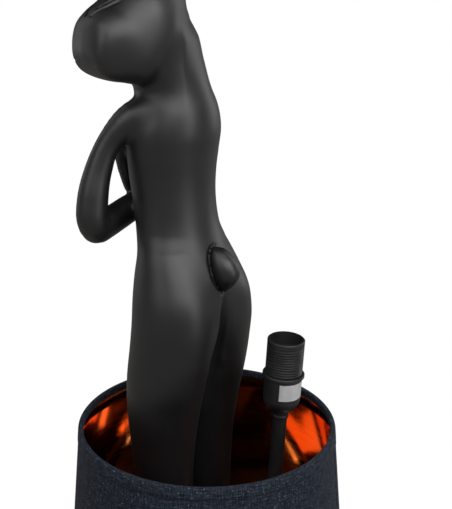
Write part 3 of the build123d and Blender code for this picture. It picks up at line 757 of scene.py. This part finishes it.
def mirror_film(name):
    """Copper mirror film with faint rolling marks round the shade and a slow wave in its surface."""
    material, tree, shader = new_material(name, (0.74, 0.24, 0.07), 0.09, metal=1.0)
    marks = noise_value(tree, 60, detail=2.0, stretch=(0.2, 6, 1), coordinate="UV")
    ramp(tree, marks, [(0.3, (0.68, 0.2, 0.05)), (0.7, (0.78, 0.27, 0.085))], shader.inputs["Base Color"])
    spread(tree, marks, 0.06, 0.14, shader.inputs["Roughness"])
    waves = noise_value(tree, 9, detail=1.0, stretch=(1, 0.6, 1), coordinate="UV")
    bump(tree, shader, waves, 1.2)
    return material


def woven(name, dark, middle, light, speck):
    """Slubbed linen: crossing threads of uneven thickness, with scattered light fibres."""
    material, tree, shader = new_material(name, middle, 0.9, specular=0.16)
    shader.inputs["Sheen Weight"].default_value = 0.04
    shader.inputs["Sheen Roughness"].default_value = 0.4
    weft = noise_value(tree, 1, detail=3.0, rough=0.6, stretch=(110, 900, 1), coordinate="UV")
    warp = noise_value(tree, 1, detail=3.0, rough=0.6, stretch=(900, 130, 1), coordinate="UV")
    threads = add_node(tree, "ShaderNodeMath", Operation="ADD")
    link(tree, weft, threads.inputs[0])
    link(tree, warp, threads.inputs[1])
    half = add_node(tree, "ShaderNodeMath", Operation="MULTIPLY")
    half.inputs[1].default_value = 0.5
    link(tree, threads.outputs[0], half.inputs[0])
    base = add_node(tree, "ShaderNodeMix", Data_Type="RGBA")
    ramp(tree, half.outputs[0], [(0.38, dark), (0.5, middle), (0.64, light)], base.inputs["A"])
    base.inputs["B"].default_value = (*speck, 1)
    fibres = noise_value(tree, 1, detail=2.0, rough=0.7, stretch=(420, 700, 1), coordinate="UV")
    spread(tree, fibres, 0, 1, base.inputs["Factor"], span=(0.62, 0.74))
    link(tree, base.outputs["Result"], shader.inputs["Base Color"])
    bump(tree, shader, half.outputs[0], 0.5, strength=0.8)
    return material


copper = mirror_film("copper_film")
linen_cloth = woven("slub_linen", (0.004, 0.0055, 0.009), (0.016, 0.021, 0.033), (0.042, 0.055, 0.078),
                    (0.2, 0.25, 0.31))
hem_cloth = woven("hem_linen", (0.005, 0.0065, 0.0105), (0.019, 0.0245, 0.037), (0.046, 0.059, 0.082),
                  (0.21, 0.26, 0.32))

assign(hare_figure, lacquer)
assign(linen, linen_cloth)
assign(film, copper)
assign(top_hem, hem_cloth)
assign(bottom_hem, hem_cloth)
for finish, names in (
    (felt, ["base_felt"]),
    (board, ["base_cover"]),
    (base_lacquer, ["base_plate"]),
    (rubber, ["cord_inlet_bush"]),
    (brass, ["figure_inserts", "screw_shell", "terminal_blocks"]),
    (zinc, ["figure_washers", "figure_screws", "stem_nipple_lower", "stem_washer", "stem_nut",
            "stem_nipple_upper", "holder_nut", "terminal_screws"]),
    (powder_coat, ["stem_tube", "stem_foot", "holder_collar"]),
    (moulded, ["lampholder_cap", "lampholder_sleeve", "lampholder_core"]),
    (bronze, ["centre_contact"]),
    (foil, ["rating_label"]),
    (sheath, ["inner_lead"]),
    (insulation, ["lead_cores"]),
    (white_wire, ["shade_bottom_ring", "shade_top_ring", "fitter_ring", "fitter_arms"]),
):
    for name in names:
        assign(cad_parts[name], finish)


# ---------------------------------------------------------------- stage
# The floor and the dome are seen as plain white. The rings just under the floor, unseen by the camera, give
# the light that the table bounces, a painted shade under the lamp (a black ring), and two painted pools of
# light that spill in at its two sides.
FAR = 60000.0
DOME_RADIUS = 9000.0
MIDDLE = 0.01
SHADE_FOOT = 116.0


def studio_sky():
    """Soft studio: brighter below, as from a white table, and dim overhead."""
    world = bpy.data.worlds.new("studio")
    scene.world = world
    world.use_nodes = True
    tree = world.node_tree
    place = add_node(tree, "ShaderNodeTexCoord")
    split = add_node(tree, "ShaderNodeSeparateXYZ")
    height = add_node(tree, "ShaderNodeMapRange")
    height.inputs["From Min"].default_value = -1
    link(tree, place.outputs["Generated"], split.inputs["Vector"])
    link(tree, split.outputs["Z"], height.inputs["Value"])
    stops = [(0.4, (0.2, 0.195, 0.19)), (0.52, (0.075, 0.075, 0.08)), (0.72, (0.012, 0.012, 0.013))]
    ramp(tree, height.outputs["Result"], stops, tree.nodes["Background"].inputs["Color"])


def glow(name, colour, strength):
    """Plain surface that gives its own light."""
    material, _, shader = new_material(name, (0.02, 0.02, 0.02), 0.9, specular=0.0)
    shader.inputs["Emission Color"].default_value = (*colour, 1)
    shader.inputs["Emission Strength"].default_value = strength
    return material


def staged(name, spots, faces, material, smooth):
    obj = mesh_object(name, spots, faces, smooth)
    assign(obj, material)
    return obj


def flat_ring(name, inner, outer, height, material, start=0, stop=360):
    """Flat ring, or part of one, from a start angle to a stop angle."""
    count = 96
    angles = [radians(start + (stop - start) * i / count) for i in range(count + 1)]
    spots = [(reach * cos(a), reach * sin(a), height) for reach in (inner, outer) for a in angles]
    faces = [(i, i + 1, i + count + 2, i + count + 1) for i in range(count)]
    return staged(name, spots, faces, material, smooth=False)


def dome(name, radius, material):
    """Half sphere over the floor, open below."""
    count, levels = 48, 12
    spots = [(radius * cos(tilt) * cos(turn), radius * cos(tilt) * sin(turn), radius * sin(tilt))
             for tilt in np.linspace(-0.02, pi / 2 - 0.01, levels)
             for turn in np.linspace(0, 2 * pi, count, endpoint=False)]
    faces = []
    for low, i in product(range(0, (levels - 1) * count, count), range(count)):
        after = (i + 1) % count
        faces.append((low + i, low + after, low + count + after, low + count + i))
    faces.append(tuple((levels - 1) * count + i for i in range(count)))
    return staged(name, spots, faces, material, smooth=True)


studio_sky()
seen_white = glow("plain_white", (1, 1, 1), 1.0)
for piece in (
    flat_ring("floor", MIDDLE, FAR, -0.5, seen_white),
    dome("backdrop", DOME_RADIUS, seen_white),
):
    piece.visible_glossy = False
    piece.visible_diffuse = False
    piece.visible_shadow = False
table_glow = glow("table_bounce", (1.0, 0.96, 0.92), 0.24)
# painted shade: a black ring under the shade, dark where the table lies in the lamp's shade
painted_shade_under_lamp = glow("painted_shade_under_lamp", (0, 0, 0), 0.0)
# painted pools of light: glowing patches on the table either side of the figure, which the copper film
# reflects
painted_light_left = glow("painted_light_left", (1.0, 0.85, 0.7), 2.5)
painted_light_right = glow("painted_light_right", (1.0, 0.6, 0.3), 1.7)
for piece in (
    flat_ring("table_light", SHADE_FOOT, FAR, -1.0, table_glow),
    flat_ring("table_dark", MIDDLE, SHADE_FOOT, -1.2, painted_shade_under_lamp),
    flat_ring("light_spill_left", 94, 109, -1.0, painted_light_left, 122, 146),
    flat_ring("light_spill_right", 87, 109, -1.0, painted_light_right, -124, -86),
):
    piece.visible_camera = False
